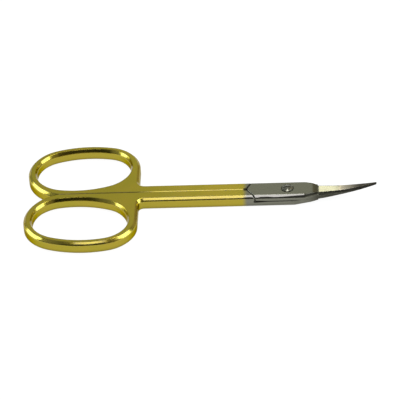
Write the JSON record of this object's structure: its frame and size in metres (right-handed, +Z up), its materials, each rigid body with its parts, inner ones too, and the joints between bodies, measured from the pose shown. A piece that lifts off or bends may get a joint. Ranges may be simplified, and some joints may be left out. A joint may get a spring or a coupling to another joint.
{
  "type": "cuticle scissors",
  "caption": "Slim cuticle scissors with oval finger bows, a lapped screw joint and short tapered blades that curve upwards to fine points, for trimming skin and nails.",
  "frame": {"origin": "on the pivot axis, at the plane that the closed scissors lie on", "axes": "+X along the scissors to the tips, +Y across to the bow of the front arm, +Z up along the pivot axis to the screw's head"},
  "size_m": [0.0897, 0.0416, 0.0045],
  "materials": {
    "plated_steel": "polished gold plating on bows and shanks, bare satin steel on the joint, polished steel on the blades",
    "screw_steel": "satin"
  },
  "bodies": {
    "rear": {"rear_arm": "plated_steel", "joint_screw": "screw_steel"},
    "front": {"front_arm": "plated_steel"}
  },
  "joints": [
    {"name": "blade_pivot", "type": "hinge", "parent": "rear", "child": "front", "pos_m": [0, 0, 0.00165], "axis": [0, 0, -1], "range_deg": [0, 60]}
  ]
}
